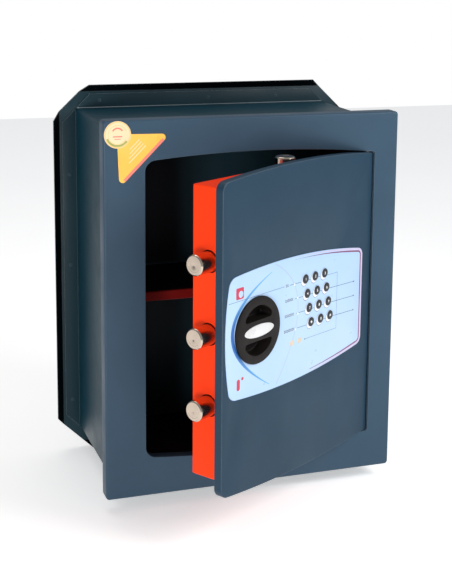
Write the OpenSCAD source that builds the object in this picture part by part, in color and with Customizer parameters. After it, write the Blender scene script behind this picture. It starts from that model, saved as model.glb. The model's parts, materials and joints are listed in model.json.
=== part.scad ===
// Wall safe with an arched steel door, rotary knob, keypad and sliding bolts.
// Origin: centre of the back panel's rear face. +Z is up, and +Y goes into the wall.
// The door is drawn ajar. Door parts are drawn as if it were shut, then swung open.

/* [Front frame] */
// Width of the front frame
frame_w = 338; // [320:1:360]
// Height of the front frame
frame_h = 420; // [405:1:440]
// Thickness of the frame's front plate
frame_t = 3; // [2.5:0.5:3]
// Depth of the frame's folded edge
frame_fold = 18; // [12:1:24]
// Corner radius of the frame
frame_corner_r = 4; // [2:0.5:8]

/* [Door opening] */
// Width of frame to the left of the opening
left_margin = 45; // [42:1:48]
// Width of frame to the right of the opening
right_margin = 27.8; // [26:0.2:32]
// Half height of the opening at the top of its arch
opening_half = 172; // [168:1:172]
// Radius of the arched top and bottom edges
arch_r = 1257; // [1000:1:1600]
// Corner radius on the bolt side
bolt_side_r = 12; // [8:1:14]
// Corner radius on the hinge side
hinge_side_r = 2.5; // [2:0.5:4]
// Thickness of the collar behind the opening
collar_t = 3; // [2:0.5:4]
// Depth of the collar behind the opening
collar_deep = 13; // [11:0.5:14]

/* [Body] */
// How far the body's walls lie inside the frame's edge
body_inset = 12; // [10:1:14]
// Thickness of the body's steel
wall_t = 3; // [2:0.5:4]
// Depth from the frame's front to the rear flange
body_deep = 200; // [180:1:260]

/* [Rear anchor] */
// Width of the body's turned-out flange
flange_w = 17; // [14:1:19]
// Thickness of the flange
flange_t = 2.5; // [2:0.5:3]
// How far the back panel stands out past the body's walls
panel_reach = 20; // [20:1:24]
// Thickness of the back panel
panel_t = 3; // [2:0.5:4]
// How far each anchor lip leans out and forward
lip_reach = 8; // [5:1:12]
// How much each end of a lip is trimmed
lip_trim = 10; // [8:1:14]
// Distance cut from each panel corner across the width
corner_cut_w = 25; // [20:1:30]
// Distance cut from each panel corner down the height
corner_cut_h = 24; // [20:1:30]

/* [Shelf] */
// Distance from the frame's front to the shelf's edge
shelf_front = 75; // [65:1:100]
// Height of the shelf's top above mid height
shelf_z = 2; // [-60:1:80]
// Height of the shelf's folded front lip
shelf_lip = 11; // [8:1:20]

/* [Door] */
// How far the door is drawn open, in degrees
door_open = 32; // [0:1:90]
// Thickness of the door plate
door_t = 10; // [10:0.5:10]
// Gap between the door and the frame
door_gap = 1.6; // [1.6:0.1:2.5]
// Distance from the door's hinge edge to the hinge axis
hinge_inset = 6; // [6:0.5:7]
// Distance from the door's front face to the hinge axis
hinge_deep = 6.2; // [6.2:0.1:6.5]
// Diameter of the hinge pins
pin_d = 6; // [5:0.5:6]

/* [Bolts] */
// Diameter of the bolts
bolt_d = 22; // [20:0.5:22]
// Distance from the door's front to the bolts' axes
bolt_deep = 28.5; // [28.5:0.1:28.8]
// Spacing of the side bolts
bolt_pitch = 76; // [70:0.5:78]
// Height of the middle side bolt above mid height
bolt_z = 3; // [2:0.5:4]
// Distance from the hinge edge to a thrown side bolt's end
side_bolt_end = 273; // [270:1:274]
// Travel of the side bolts
side_throw = 21; // [18:0.5:21]
// Height of the thrown top and bottom bolts' ends
upright_end = 171.5; // [168:0.5:171.5]
// Travel of the top and bottom bolts
upright_throw = 14; // [12:0.5:14]
// Distance from the hinge edge to the top and bottom bolts
upright_at = 127.4; // [122:0.1:133]

/* [Bolt cover] */
// Distance from the hinge edge to the cover's hinge side
cover_from = 22; // [20:1:24]
// Distance from the hinge edge to the cover's bolt side
cover_to = 250; // [249:0.5:251]
// Bottom of the cover below mid height
cover_bottom = -152; // [-153:0.5:-151]
// Top of the cover above mid height
cover_top = 156; // [155:0.5:157]
// Distance from the door's front to the cover's back
cover_deep = 50.5; // [50.5:0.5:51]

/* [Knob] */
// Diameter of the knob's front ring
knob_d = 71.5; // [66:0.5:74]
// Distance from the hinge edge to the knob's axis
knob_at = 208.3; // [208:0.1:208.6]
// Width of the grip bar across the knob
grip_w = 22; // [14:0.5:24]

/* [Keypad] */
// Half height of the label at the top of its arch
label_half = 68.5; // [66:0.5:70]
// Radius of the label's curved free side
label_side_r = 280; // [240:10:400]
// Spacing of the keys along a row
key_pitch_x = 17.4; // [16:0.1:18]
// Spacing of the rows of keys
key_pitch_z = 16.6; // [16:0.05:17.5]
// How far each row is shifted from the one above it
key_lean = 3.75; // [3:0.05:4]
// Diameter of a key
key_d = 10.4; // [9:0.1:11]

/* [Hidden] */
$fn = 64;
arch_fn = 720;
eps = 0.01;

frame_grey = "#465868";
flange_black = "#1c2226";
cover_orange = "#f04a26";
steel = "#c9c6bd";
plastic_black = "#1a1a1b";
label_blue = "#c6e6fa";
board_green = "#1f6b3c";

// Frame, body and anchor outlines, measured from the frame's centre
half_w = frame_w / 2;
half_h = frame_h / 2;
open_x0 = -half_w + left_margin;
open_x1 = half_w - right_margin;
arch_x = (open_x0 + open_x1) / 2;
body_x = half_w - body_inset;
body_z = half_h - body_inset;
panel_x = body_x + panel_reach;
panel_z = body_z + panel_reach;
panel_front = body_deep + flange_t;
total_deep = panel_front + panel_t;

// The door, shut, and its hinge axis
door_x1 = open_x1 - door_gap;
door_x0 = open_x0 + door_gap;
hinge_x = door_x1 - hinge_inset;
hinge_z = arch_z(hinge_x, arch_x, opening_half, arch_r);
pin_r = pin_d / 2;
pin_play = 0.05;
pin_reach = 22;
pin_end_z = 186;
hinge_edge_r = 3;
block_w = 18;

// Layers of the bolt work, as depths behind the door's front face
plate_back = door_t;
bolt_r = bolt_d / 2;
bolt_play = 0.08;
carriage_y = 40;
carriage_t = 3;
cam_y = 43.5;
cam_t = 2.6;
link_y = 46.5;
link_t = 1.8;
cover_t = 1.5;
knob_z = 4;
cup_r = 28.5;
cup_back = 14;
spindle_r = 5;
spindle_end = 48.6;

// The cam's spiral slots carry a pin from the outer radius to the inner one in a quarter turn
cam_turn = 90;
cam_r = 39.5;
side_cam_r = 31.5;
upright_cam_r = 34;
cam_pin_r = 3;
cam_slot_r = 3.4;
slot_steps = 24;

// Carriage, measured from the hinge edge with the bolts thrown
carriage_from = 186;
carriage_to = 244.3;
carriage_half = 90;
middle_bolt_from = 235.4;
outer_bolt_from = 205;
bolt_screw_at = 215;
saddle_deep = 35.5;
guide_from = 244.4;
guide_reach = 12.2;
guide_half = 95;
upright_guide_reach = 14;
saddle_s = [223, 243, 223];
saddle_len = [16, 7.6, 16];
plunger_at = 205;
plunger_r = 3;
plunger_z = 96;
screw_r = 3;
screw_from = bolt_deep + 4;
post_r = 3.5;
post_s = [30, 241];
post_z = [-143, 147];
stud_r = 5;
stud_z = 108;

// Label and keypad
label_x0 = door_x1 - 258;
label_x1 = door_x1 - 19.2;
label_z = 1.6;
label_arch_x = door_x1 - 164;
label_arch_r = 788;
label_free_r = 12;
label_hinge_r = 9;
label_t = 0.8;
key_first_s = 127.2;
key_first_z = 41.4;
pad_s = 104.2;
pad_z = 15.8;
pad_w = 66;
pad_h = 70;
pad_play = 0.3;
pad_floor = 8;
board_y = 4.5;
board_t = 1.6;
key_names = ["1", "2", "3", "4", "5", "6", "7", "8", "9", "star", "0", "hash"];
led_s = [148.6, 135.2];
led_z = -24.5;
led_r = 3.2;

// Height of an arched edge above mid height
function arch_z(x, cx, half, r) = half - r + sqrt(r * r - (x - cx) * (x - cx));
// Upper point at distance d0 from point c0 and distance d1 from point c1
function meet(c0, d0, c1, d1) = let (
    gap = norm(c1 - c0), along = (d0 * d0 - d1 * d1 + gap * gap) / (2 * gap),
    off = sqrt(d0 * d0 - along * along), u = (c1 - c0) / gap)
    c0 + along * u + off * [u[1], -u[0]];
// X of a point at distance s from the door's hinge edge
function door_x(s) = door_x1 - s;
// Place of key i, counted from the top row's free end
function key_s(i) = key_first_s - key_pitch_x * (i % 3) - key_lean * floor(i / 3);
function key_z(i) = key_first_z - key_pitch_z * floor(i / 3);

// Moves parts drawn from the frame's front face to the part's origin
module at_front() {
    translate([0, -total_deep, 0]) children();
}

// Swings door parts, drawn shut, to where the door stands
module on_door() {
    at_front() translate([hinge_x, hinge_deep, 0]) rotate([0, 0, door_open])
        translate([-hinge_x, -hinge_deep, 0]) children();
}

// Plate of thickness t from depth y, with its outline drawn in X and Z
module slab(y, t) {
    translate([0, y + t, 0]) rotate([90, 0, 0]) linear_extrude(t) children();
}

// Round bar along +Y
module bar_y(x, y, z, r, length) {
    translate([x, y, z]) rotate([-90, 0, 0]) cylinder(r = r, h = length);
}

// Round bar along +Z
module bar_z(x, y, z, r, length) {
    translate([x, y, z]) cylinder(r = r, h = length);
}

// Round bar along X
module bar_x(x, y, z, r, length) {
    translate([x, y, z]) rotate([0, 90, 0]) cylinder(r = r, h = length);
}

module rounded_rect(w, h, r) {
    square([w, h - 2 * r], center = true);
    square([w - 2 * r, h], center = true);
    for (sx = [-1, 1], sz = [-1, 1])
        translate([sx * (w / 2 - r), sz * (h / 2 - r)]) circle(r = r);
}

// Outline with straight sides, arched top and bottom, and round corners
module barrel(x0, x1, cx, half, r, r0, r1) {
    c0 = x0 + r0;
    c1 = x1 - r1;
    z0 = half - r + sqrt(pow(r - r0, 2) - pow(c0 - cx, 2));
    z1 = half - r + sqrt(pow(r - r1, 2) - pow(c1 - cx, 2));
    t0 = c0 - r0 * (cx - c0) / (r - r0);
    t1 = c1 + r1 * (c1 - cx) / (r - r1);
    intersection() {
        translate([t0, -half]) square([t1 - t0, 2 * half]);
        translate([cx, half - r]) circle(r = r, $fn = arch_fn);
        translate([cx, r - half]) circle(r = r, $fn = arch_fn);
    }
    translate([x0, -z0]) square([t0 - x0 + eps, 2 * z0]);
    translate([t1 - eps, -z1]) square([x1 - t1 + eps, 2 * z1]);
    for (side = [-1, 1]) {
        translate([c0, side * z0]) circle(r = r0);
        translate([c1, side * z1]) circle(r = r1);
    }
}

// Outline of the label: arched top and bottom, curved free side, straight hinge side
module label_outline() {
    arch_c = [label_arch_x, label_half - label_arch_r];
    side_c = [label_x0 + label_side_r, 0];
    corner = meet(side_c, label_side_r - label_free_r, arch_c, label_arch_r - label_free_r);
    on_arch = arch_c + (corner - arch_c) * label_arch_r / (label_arch_r - label_free_r);
    on_side = side_c + (corner - side_c) * label_side_r / (label_side_r - label_free_r);
    c1 = label_x1 - label_hinge_r;
    z1 = arch_z(c1, label_arch_x, label_half - label_hinge_r, label_arch_r - label_hinge_r);
    t1 = c1 + label_hinge_r * (c1 - label_arch_x) / (label_arch_r - label_hinge_r);
    intersection() {
        polygon([[label_x0 - 5, on_side[1]], on_side, on_arch, [on_arch[0], label_half + 5],
            [t1, label_half + 5], [t1, -label_half - 5], [on_arch[0], -label_half - 5],
            [on_arch[0], -on_arch[1]], [on_side[0], -on_side[1]], [label_x0 - 5, -on_side[1]]]);
        translate(arch_c) circle(r = label_arch_r, $fn = arch_fn);
        translate([arch_c[0], -arch_c[1]]) circle(r = label_arch_r, $fn = arch_fn);
        translate(side_c) circle(r = label_side_r, $fn = arch_fn);
    }
    translate([t1 - eps, -z1]) square([label_x1 - t1 + eps, 2 * z1]);
    for (side = [-1, 1]) {
        translate([corner[0], side * corner[1]]) circle(r = label_free_r);
        translate([c1, side * z1]) circle(r = label_hinge_r);
    }
}

module opening_outline(grow) {
    barrel(open_x0 - grow, open_x1 + grow, arch_x, opening_half + grow, arch_r + grow,
        bolt_side_r + grow, hinge_side_r + grow);
}

// Slot for a pin that moves in a straight line as the cam turns under it
module spiral_slot(start, r_out, r_in) {
    function path(k) = let (f = k / slot_steps) [r_out + (r_in - r_out) * f, start + cam_turn * f];
    function edge(k, side) = let (
        p = path(k), slope = (r_in - r_out) / (cam_turn * PI / 180),
        lean = atan2(slope, p[0]), a = p[1] - lean)
        [p[0] * cos(p[1]) + side * cam_slot_r * cos(a), p[0] * sin(p[1]) + side * cam_slot_r * sin(a)];
    polygon(concat([for (k = [0:slot_steps]) edge(k, 1)],
        [for (k = [slot_steps:-1:0]) edge(k, -1)]));
    for (k = [0, slot_steps]) {
        p = path(k);
        translate([p[0] * cos(p[1]), p[0] * sin(p[1])]) circle(r = cam_slot_r);
    }
}

// ---- Body ----

module front_frame() color(frame_grey) at_front() difference() {
    union() {
        slab(0, frame_t) rounded_rect(frame_w, frame_h, frame_corner_r);
        slab(frame_t, frame_fold - frame_t) difference() {
            rounded_rect(frame_w, frame_h, frame_corner_r);
            square([frame_w - 2 * wall_t, frame_h - 2 * wall_t], center = true);
        }
    }
    slab(-1, frame_t + 2) opening_outline(0);
}

module opening_collar() color(frame_grey) at_front() difference() {
    slab(frame_t, collar_deep - frame_t) difference() {
        opening_outline(collar_t);
        opening_outline(0);
    }
    bar_z(hinge_x, hinge_deep, -half_h, pin_r + 0.02, frame_h);
}

module flange_strip(half_len) {
    polygon([[-half_len, 0], [half_len, 0], [half_len - flange_w, flange_w],
        [flange_w - half_len, flange_w]]);
}

module body_shell() color(frame_grey) at_front() {
    slab(frame_t, panel_front - frame_t) difference() {
        square([2 * body_x, 2 * body_z], center = true);
        square([2 * (body_x - wall_t), 2 * (body_z - wall_t)], center = true);
    }
    slab(body_deep, flange_t) {
        for (turn = [0, 180]) rotate(turn) translate([0, body_z]) flange_strip(body_x);
        for (turn = [90, 270]) rotate(turn) translate([0, body_x]) flange_strip(body_z);
    }
}

// One anchor lip: a leaning strip with trimmed ends, along X at height reach
module anchor_lip(half_len, reach) {
    intersection() {
        rotate([90, 0, 90]) linear_extrude(2 * half_len, center = true) polygon([
            [panel_front, reach], [total_deep, reach],
            [total_deep - lip_reach, reach + lip_reach], [panel_front - lip_reach, reach + lip_reach]]);
        slab(panel_front - lip_reach, lip_reach + panel_t) polygon([
            [-half_len, reach], [half_len, reach],
            [half_len - lip_trim, reach + lip_reach], [lip_trim - half_len, reach + lip_reach]]);
    }
}

module back_panel() color(frame_grey) at_front() {
    lip_half_w = panel_x - corner_cut_w;
    lip_half_h = panel_z - corner_cut_h;
    slab(panel_front, panel_t) polygon([
        [-panel_x, lip_half_h], [-lip_half_w, panel_z], [lip_half_w, panel_z], [panel_x, lip_half_h],
        [panel_x, -lip_half_h], [lip_half_w, -panel_z], [-lip_half_w, -panel_z], [-panel_x, -lip_half_h]]);
    for (turn = [0, 180]) rotate([0, turn, 0]) anchor_lip(lip_half_w, panel_z);
    for (turn = [90, 270]) rotate([0, turn, 0]) anchor_lip(lip_half_h, panel_x);
}

module shelf() color(flange_black) at_front() {
    shelf_half = body_x - wall_t - 1;
    shelf_t = 2;
    translate([-shelf_half, shelf_front, shelf_z - shelf_t])
        cube([2 * shelf_half, body_deep - shelf_front - 2, shelf_t]);
    translate([-shelf_half + 14, shelf_front, shelf_z - shelf_lip])
        cube([2 * shelf_half - 28, shelf_t, shelf_lip - shelf_t]);
}

// Steel angle that the shelf's end rests on; side is -1 for the left wall
module shelf_bracket(side) {
    wall_x = body_x - wall_t;
    at_front() mirror([side < 0 ? 1 : 0, 0, 0]) translate([wall_x, shelf_front + 12, shelf_z - 2]) {
        translate([-12, 0, -2]) cube([12, 100, 2]);
        translate([-2, 0, -14]) cube([2, 100, 12]);
    }
}
module shelf_bracket_left() color(frame_grey) shelf_bracket(-1);
module shelf_bracket_right() color(frame_grey) shelf_bracket(1);

// Welded block that holds a hinge pin; drawn above the opening
module hinge_block() {
    block_z = arch_z(hinge_x - block_w / 2, arch_x, opening_half + collar_t, arch_r + collar_t) + 0.1;
    at_front() difference() {
        translate([hinge_x - block_w / 2, frame_t, block_z])
            cube([block_w, 12, pin_end_z + 4 - block_z]);
        bar_z(hinge_x, hinge_deep, block_z - 1, pin_r + 0.02, pin_end_z - block_z + 1);
    }
}
module hinge_block_upper() color(frame_grey) hinge_block();
module hinge_block_lower() color(frame_grey) mirror([0, 0, 1]) hinge_block();

module hinge_pin() {
    pin_from = hinge_z - door_gap - pin_reach;
    at_front() bar_z(hinge_x, hinge_deep, pin_from, pin_r, pin_end_z - pin_from);
}
module hinge_pin_upper() color(steel) hinge_pin();
module hinge_pin_lower() color(steel) mirror([0, 0, 1]) hinge_pin();

module sticker_disc(r) {
    translate([-153.6, 195]) circle(r = r);
}

module sticker_triangle() color("#e8b060") at_front() slab(-0.3, 0.3) difference() {
    hull() {
        translate([-105.6, 188.4]) circle(r = 4, $fn = 32);
        translate([-146.2, 147.4]) circle(r = 4, $fn = 32);
        translate([-148.4, 193]) circle(r = 4, $fn = 32);
    }
    sticker_disc(14.42);
}

module sticker_round() color("#f4dcb8") at_front() slab(-0.3, 0.3) sticker_disc(14.4);

// ---- Door ----

module door_plate() color(frame_grey) on_door() difference() {
    slab(0, door_t) opening_outline(-door_gap);
    // The hinge edge is rounded at the front so that it clears the frame
    difference() {
        translate([door_x1 - hinge_edge_r, -1, -half_h]) cube([hinge_edge_r + 1, hinge_edge_r + 1, frame_h]);
        bar_z(door_x1 - hinge_edge_r, hinge_edge_r, -half_h - 1, hinge_edge_r, frame_h + 2);
    }
    for (side = [0, 1]) mirror([0, 0, side])
        bar_z(hinge_x, hinge_deep, hinge_z - door_gap - pin_reach - 1, pin_r + pin_play, 60);
    bar_y(door_x(knob_at), -1, knob_z, 31, door_t + 2);
    slab(-1, door_t + 2) translate([door_x(pad_s), pad_z]) rounded_rect(pad_w, pad_h, 3);
    for (s = led_s) bar_y(door_x(s), -1, led_z, 2.6, door_t + 2);
}

// Fixed bar on the hinge side that hooks behind the collar when the door is shut
module anti_pry_rail() color(frame_grey) on_door() {
    translate([door_x(16), plate_back, -140]) cube([12, 5, 280]);
    translate([door_x(16), plate_back + 5, -140]) cube([20.5, 8, 280]);
}

module bolt_cover() color(cover_orange) on_door() difference() {
    translate([door_x(cover_to), plate_back, cover_bottom])
        cube([cover_to - cover_from, cover_deep - plate_back, cover_top - cover_bottom]);
    translate([door_x(cover_to) + cover_t, plate_back - 1, cover_bottom + cover_t])
        cube([cover_to - cover_from - 2 * cover_t, cover_deep - plate_back + 1 - cover_t,
            cover_top - cover_bottom - 2 * cover_t]);
    for (k = [-1:1]) bar_x(door_x(cover_to) - 1, bolt_deep, bolt_z + k * bolt_pitch, bolt_r + 1, 4);
    bar_z(door_x(upright_at), bolt_deep, cover_bottom - 1, bolt_r + 1, 4);
    bar_z(door_x(upright_at), bolt_deep, cover_top - 3, bolt_r + 1, 4);
    for (s = post_s, z = post_z) bar_y(door_x(s), cover_deep - 3, z, 2.2, 4);
}

module cover_posts() color(steel) on_door() for (s = post_s, z = post_z) difference() {
    bar_y(door_x(s), plate_back, z, post_r, cover_deep - cover_t - plate_back);
    bar_y(door_x(s), cover_deep - 12, z, 2.02, 12);
}

module cover_screws() color(steel) on_door() for (s = post_s, z = post_z) {
    bar_y(door_x(s), cover_deep, z, 3.6, 2);
    bar_y(door_x(s), cover_deep - 11, z, 2, 11);
}

// Guide web across the side bolts, with feet on the door above and below the knob
module side_bolt_guide() color(steel) on_door() difference() {
    union() {
        translate([door_x(guide_from + 4), plate_back, bolt_z - guide_half])
            cube([4, bolt_deep + guide_reach - plate_back, 2 * guide_half]);
        for (z = [bolt_z - guide_half, bolt_z + guide_half - 60])
            translate([door_x(guide_from), plate_back, z]) cube([16, 2.5, 60]);
    }
    for (k = [-1:1])
        bar_x(door_x(guide_from + 6), bolt_deep, bolt_z + k * bolt_pitch, bolt_r + bolt_play, 8);
}

// Guide for the top bolt; the bottom one is its mirror image
module upright_guide() {
    on_door() difference() {
        translate([door_x(upright_at) - 19, plate_back, 0]) {
            translate([0, 0, 138]) cube([38, bolt_deep + upright_guide_reach - plate_back, 4]);
            translate([0, 0, 120]) cube([38, 2.5, 18]);
        }
        bar_z(door_x(upright_at), bolt_deep, 130, bolt_r + bolt_play, 20);
    }
}
module top_bolt_guide() color(steel) upright_guide();
module bottom_bolt_guide() color(steel) mirror([0, 0, 1]) upright_guide();

module knob_bushing() color("#d8d4c8") on_door() difference() {
    bar_y(door_x(knob_at), 0, knob_z, 31, door_t);
    bar_y(door_x(knob_at), -1, knob_z, cup_r + 0.06, door_t + 2);
}

module keypad_label() color(label_blue) on_door() slab(-label_t, label_t) difference() {
    translate([0, label_z]) label_outline();
    translate([door_x(knob_at), knob_z]) circle(r = cup_r + 0.5);
    for (i = [0:11]) translate([door_x(key_s(i)), key_z(i)]) circle(r = key_d / 2 + 0.3);
    for (s = led_s) translate([door_x(s), led_z]) circle(r = led_r + 0.05);
}

module keypad_housing() color(plastic_black) on_door() translate([door_x(pad_s), 0, pad_z]) {
    slab(pad_floor, door_t - pad_floor) rounded_rect(pad_w - pad_play, pad_h - pad_play, 3);
    slab(0.1, pad_floor - 0.1) difference() {
        rounded_rect(pad_w - pad_play, pad_h - pad_play, 3);
        rounded_rect(pad_w - 5, pad_h - 5, 1.5);
    }
    for (sx = [-1, 1], sz = [-1, 1])
        bar_y(sx * 27, board_y + board_t, sz * 28, 2.5, pad_floor - board_y - board_t);
}

module keypad_board() color(board_green) on_door() {
    translate([door_x(pad_s) - 30, board_y, pad_z - 31]) cube([60, board_t, 62]);
    for (i = [0:11]) bar_y(door_x(key_s(i)), board_y - 0.5, key_z(i), 3, 0.5);
}

module led_windows() color("#ead9c0") on_door() for (s = led_s) {
    bar_y(door_x(s), -label_t - 0.3, led_z, led_r, label_t + 0.3);
    bar_y(door_x(s), 0, led_z, 2.55, door_t + 2);
}

module control_board() color(board_green) on_door() translate([door_x(110), plate_back + 6, 64]) {
    cube([72, board_t, 70]);
    translate([8, board_t, 8]) cube([18, 3, 18]);
    translate([26, board_t, 44]) cube([40, 6, 9]);
    translate([50, board_t, 12]) cube([14, 10, 14]);
    for (x = [5, 67], z = [5, 65]) bar_y(x, -6, z, 2.5, 6);
}

// Flat cable from the keypad's back up to the control board
module ribbon_cable() color("#b8b4aa") on_door() translate([door_x(90), 0, 0]) {
    translate([-7, plate_back, 40]) cube([14, 0.8, 40]);
    translate([-7, plate_back + 0.8, 79.2]) cube([14, 5.2, 0.8]);
}

module solenoid_body() color(steel) on_door() translate([door_x(plunger_at) - 12, plate_back, 104])
    difference() {
        cube([24, 36, 26]);
        bar_z(12, carriage_y + carriage_t / 2 - plate_back, -1, plunger_r + 0.06, 20);
    }

module battery_holder() color(plastic_black) on_door() translate([door_x(106), plate_back, -132])
    difference() {
        cube([64, 20, 56]);
        translate([2, 3, 2]) cube([60, 18, 52]);
    }

module batteries() color("#8c6a3c") on_door() for (k = [0:3])
    bar_z(door_x(106) + 9.5 + 15 * k, plate_back + 10.5, -129.5, 7.2, 50.5);

// ---- Knob and cam, which turn together ----

module knob() color(plastic_black) on_door() difference() {
    union() {
        bar_y(door_x(knob_at), -3.9, knob_z, knob_d / 2, 3);
        bar_y(door_x(knob_at), -1, knob_z, cup_r, cup_back + 1);
    }
    for (side = [-1, 1]) intersection() {
        bar_y(door_x(knob_at), -5, knob_z, cup_r - 2, 17);
        translate([door_x(knob_at) - 40, -5, knob_z + (side > 0 ? grip_w / 2 : -40 - grip_w / 2)])
            cube([80, 17, 40]);
    }
    bar_y(door_x(knob_at), 2, knob_z, spindle_r + 0.02, 20);
}

module knob_badge() color("#eeeeea") on_door() slab(-4.5, 0.6) translate([door_x(knob_at), knob_z])
    polygon([for (a = [0:6:354]) [23.5 * cos(a), 6.6 * sin(a)]]);

module spindle() color(steel) on_door() bar_y(door_x(knob_at), 2.2, knob_z, spindle_r, spindle_end - 2.2);

module drive_cam() color(steel) on_door() slab(cam_y, cam_t) translate([door_x(knob_at), knob_z])
    difference() {
        circle(r = cam_r);
        circle(r = spindle_r + 0.02);
        spiral_slot(180, side_cam_r, side_cam_r - side_throw);
        spiral_slot(90, upright_cam_r, upright_cam_r - upright_throw);
        spiral_slot(270, upright_cam_r, upright_cam_r - upright_throw);
    }

module spindle_clip() color(steel) on_door() difference() {
    bar_y(door_x(knob_at), cam_y + cam_t + 0.1, knob_z, spindle_r + 3, 1);
    bar_y(door_x(knob_at), cam_y, knob_z, spindle_r + 0.02, 10);
}

// ---- Side bolts and their carriage ----

// Plate that carries the side bolts in saddles
module bolt_carriage() color(steel) on_door() difference() {
    union() {
        slab(carriage_y, carriage_t) translate([door_x(carriage_to), bolt_z - carriage_half])
            square([carriage_to - carriage_from, 2 * carriage_half]);
        for (k = [-1:1]) translate([door_x(saddle_s[k + 1]), saddle_deep, bolt_z + k * bolt_pitch - 7])
            cube([saddle_len[k + 1], carriage_y - saddle_deep, 14]);
    }
    for (k = [-1:1]) bar_x(door_x(guide_from), bolt_deep, bolt_z + k * bolt_pitch, bolt_r + 0.02, 40);
    // Slot that clears the spindle over the whole travel
    slab(carriage_y - 1, carriage_t + 2) {
        for (s = [knob_at, knob_at + side_throw]) translate([door_x(s), knob_z]) circle(r = spindle_r + 1);
        translate([door_x(knob_at + side_throw), knob_z - spindle_r - 1])
            square([side_throw, 2 * spindle_r + 2]);
    }
    // Notches for the solenoid's plunger at both ends of the travel
    for (s = [plunger_at, plunger_at + side_throw])
        translate([door_x(s) - 4.5, carriage_y - 1, bolt_z + carriage_half - 7]) cube([9, carriage_t + 2, 8]);
    for (k = [-1, 1]) bar_y(door_x(bolt_screw_at), 30, bolt_z + k * bolt_pitch, screw_r + 0.02, 20);
    bar_y(door_x(knob_at + side_cam_r), 30, knob_z, cam_pin_r + 0.02, 20);
}

// Shoulder pin that holds the middle bolt and runs in the cam
module drive_pin() color(steel) on_door()
    bar_y(door_x(knob_at + side_cam_r), screw_from, knob_z, cam_pin_r, cam_y + cam_t - screw_from);

module carriage_screws() color(steel) on_door() for (k = [-1, 1])
    bar_y(door_x(bolt_screw_at), screw_from, bolt_z + k * bolt_pitch, screw_r,
        carriage_y + carriage_t - screw_from);

// Side bolt k, from distance s to its thrown end; the end has a turned chamfer
module side_bolt(k, s) {
    on_door() difference() {
        translate([door_x(s), bolt_deep, bolt_z + k * bolt_pitch]) rotate([0, -90, 0]) {
            cylinder(r = bolt_r, h = side_bolt_end - s - 1.2);
            translate([0, 0, side_bolt_end - s - 1.2]) cylinder(r1 = bolt_r, r2 = bolt_r - 1.2, h = 1.2);
        }
        bar_y(door_x(k == 0 ? knob_at + side_cam_r : bolt_screw_at), screw_from,
            k == 0 ? knob_z : bolt_z + k * bolt_pitch, screw_r + 0.02, 20);
    }
}
module side_bolt_upper() color(steel) side_bolt(1, outer_bolt_from);
module side_bolt_middle() color(steel) side_bolt(0, middle_bolt_from);
module side_bolt_lower() color(steel) side_bolt(-1, outer_bolt_from);

// ---- Top and bottom bolts with their links ----

module upright_bolt() {
    on_door() difference() {
        union() {
            bar_z(door_x(upright_at), bolt_deep, 100, bolt_r, upright_end - 101.2);
            translate([door_x(upright_at), bolt_deep, upright_end - 1.2])
                cylinder(r1 = bolt_r, r2 = bolt_r - 1.2, h = 1.2);
        }
        bar_y(door_x(upright_at), bolt_deep, stud_z, stud_r + 0.02, 20);
    }
}

// Link plate behind the cam, with its cam pin, and a stud into the bolt
module upright_link(cam_pin_z) {
    on_door() {
        slab(link_y, link_t) {
            translate([door_x(knob_at + 6), cam_pin_z - 6]) square([knob_at + 6 - upright_at + 8, 12]);
            translate([door_x(upright_at + 8), cam_pin_z - 6]) square([16, stud_z + 14 - cam_pin_z]);
        }
        bar_y(door_x(knob_at), cam_y, cam_pin_z, cam_pin_r, link_y - cam_y);
        bar_y(door_x(upright_at), bolt_deep + 1, stud_z, stud_r, link_y - bolt_deep - 1);
    }
}
module top_bolt() color(steel) upright_bolt();
module bottom_bolt() color(steel) mirror([0, 0, 1]) upright_bolt();
module top_link() color(steel) upright_link(knob_z + upright_cam_r);
module bottom_link() color(steel) mirror([0, 0, 1]) upright_link(upright_cam_r - knob_z);

module solenoid_plunger() color(steel) on_door()
    bar_z(door_x(plunger_at), carriage_y + carriage_t / 2, plunger_z, plunger_r, 22);

// ---- Keys ----

module key(i) {
    color(plastic_black) on_door() translate([door_x(key_s(i)), 0, key_z(i)]) {
        bar_y(0, -2.2, 0, key_d / 2, 2.4);
        bar_y(0, 0.2, 0, key_d / 2 + 0.9, 1);
        bar_y(0, 1.2, 0, 2.2, 1.9);
    }
}

front_frame();
opening_collar();
body_shell();
back_panel();
shelf();
shelf_bracket_left();
shelf_bracket_right();
hinge_block_upper();
hinge_block_lower();
hinge_pin_upper();
hinge_pin_lower();
sticker_triangle();
sticker_round();
door_plate();
anti_pry_rail();
bolt_cover();
cover_posts();
cover_screws();
side_bolt_guide();
top_bolt_guide();
bottom_bolt_guide();
knob_bushing();
keypad_label();
keypad_housing();
keypad_board();
led_windows();
control_board();
ribbon_cable();
solenoid_body();
battery_holder();
batteries();
knob();
knob_badge();
spindle();
drive_cam();
spindle_clip();
bolt_carriage();
drive_pin();
carriage_screws();
side_bolt_upper();
side_bolt_middle();
side_bolt_lower();
top_bolt();
top_link();
bottom_bolt();
bottom_link();
solenoid_plunger();
for (i = [0:11]) key(i);
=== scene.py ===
"""Looks of a wall safe: painted steel, bolts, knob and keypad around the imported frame."""

import json
import math

import bmesh
import bpy
from mathutils import Matrix, Vector


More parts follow.
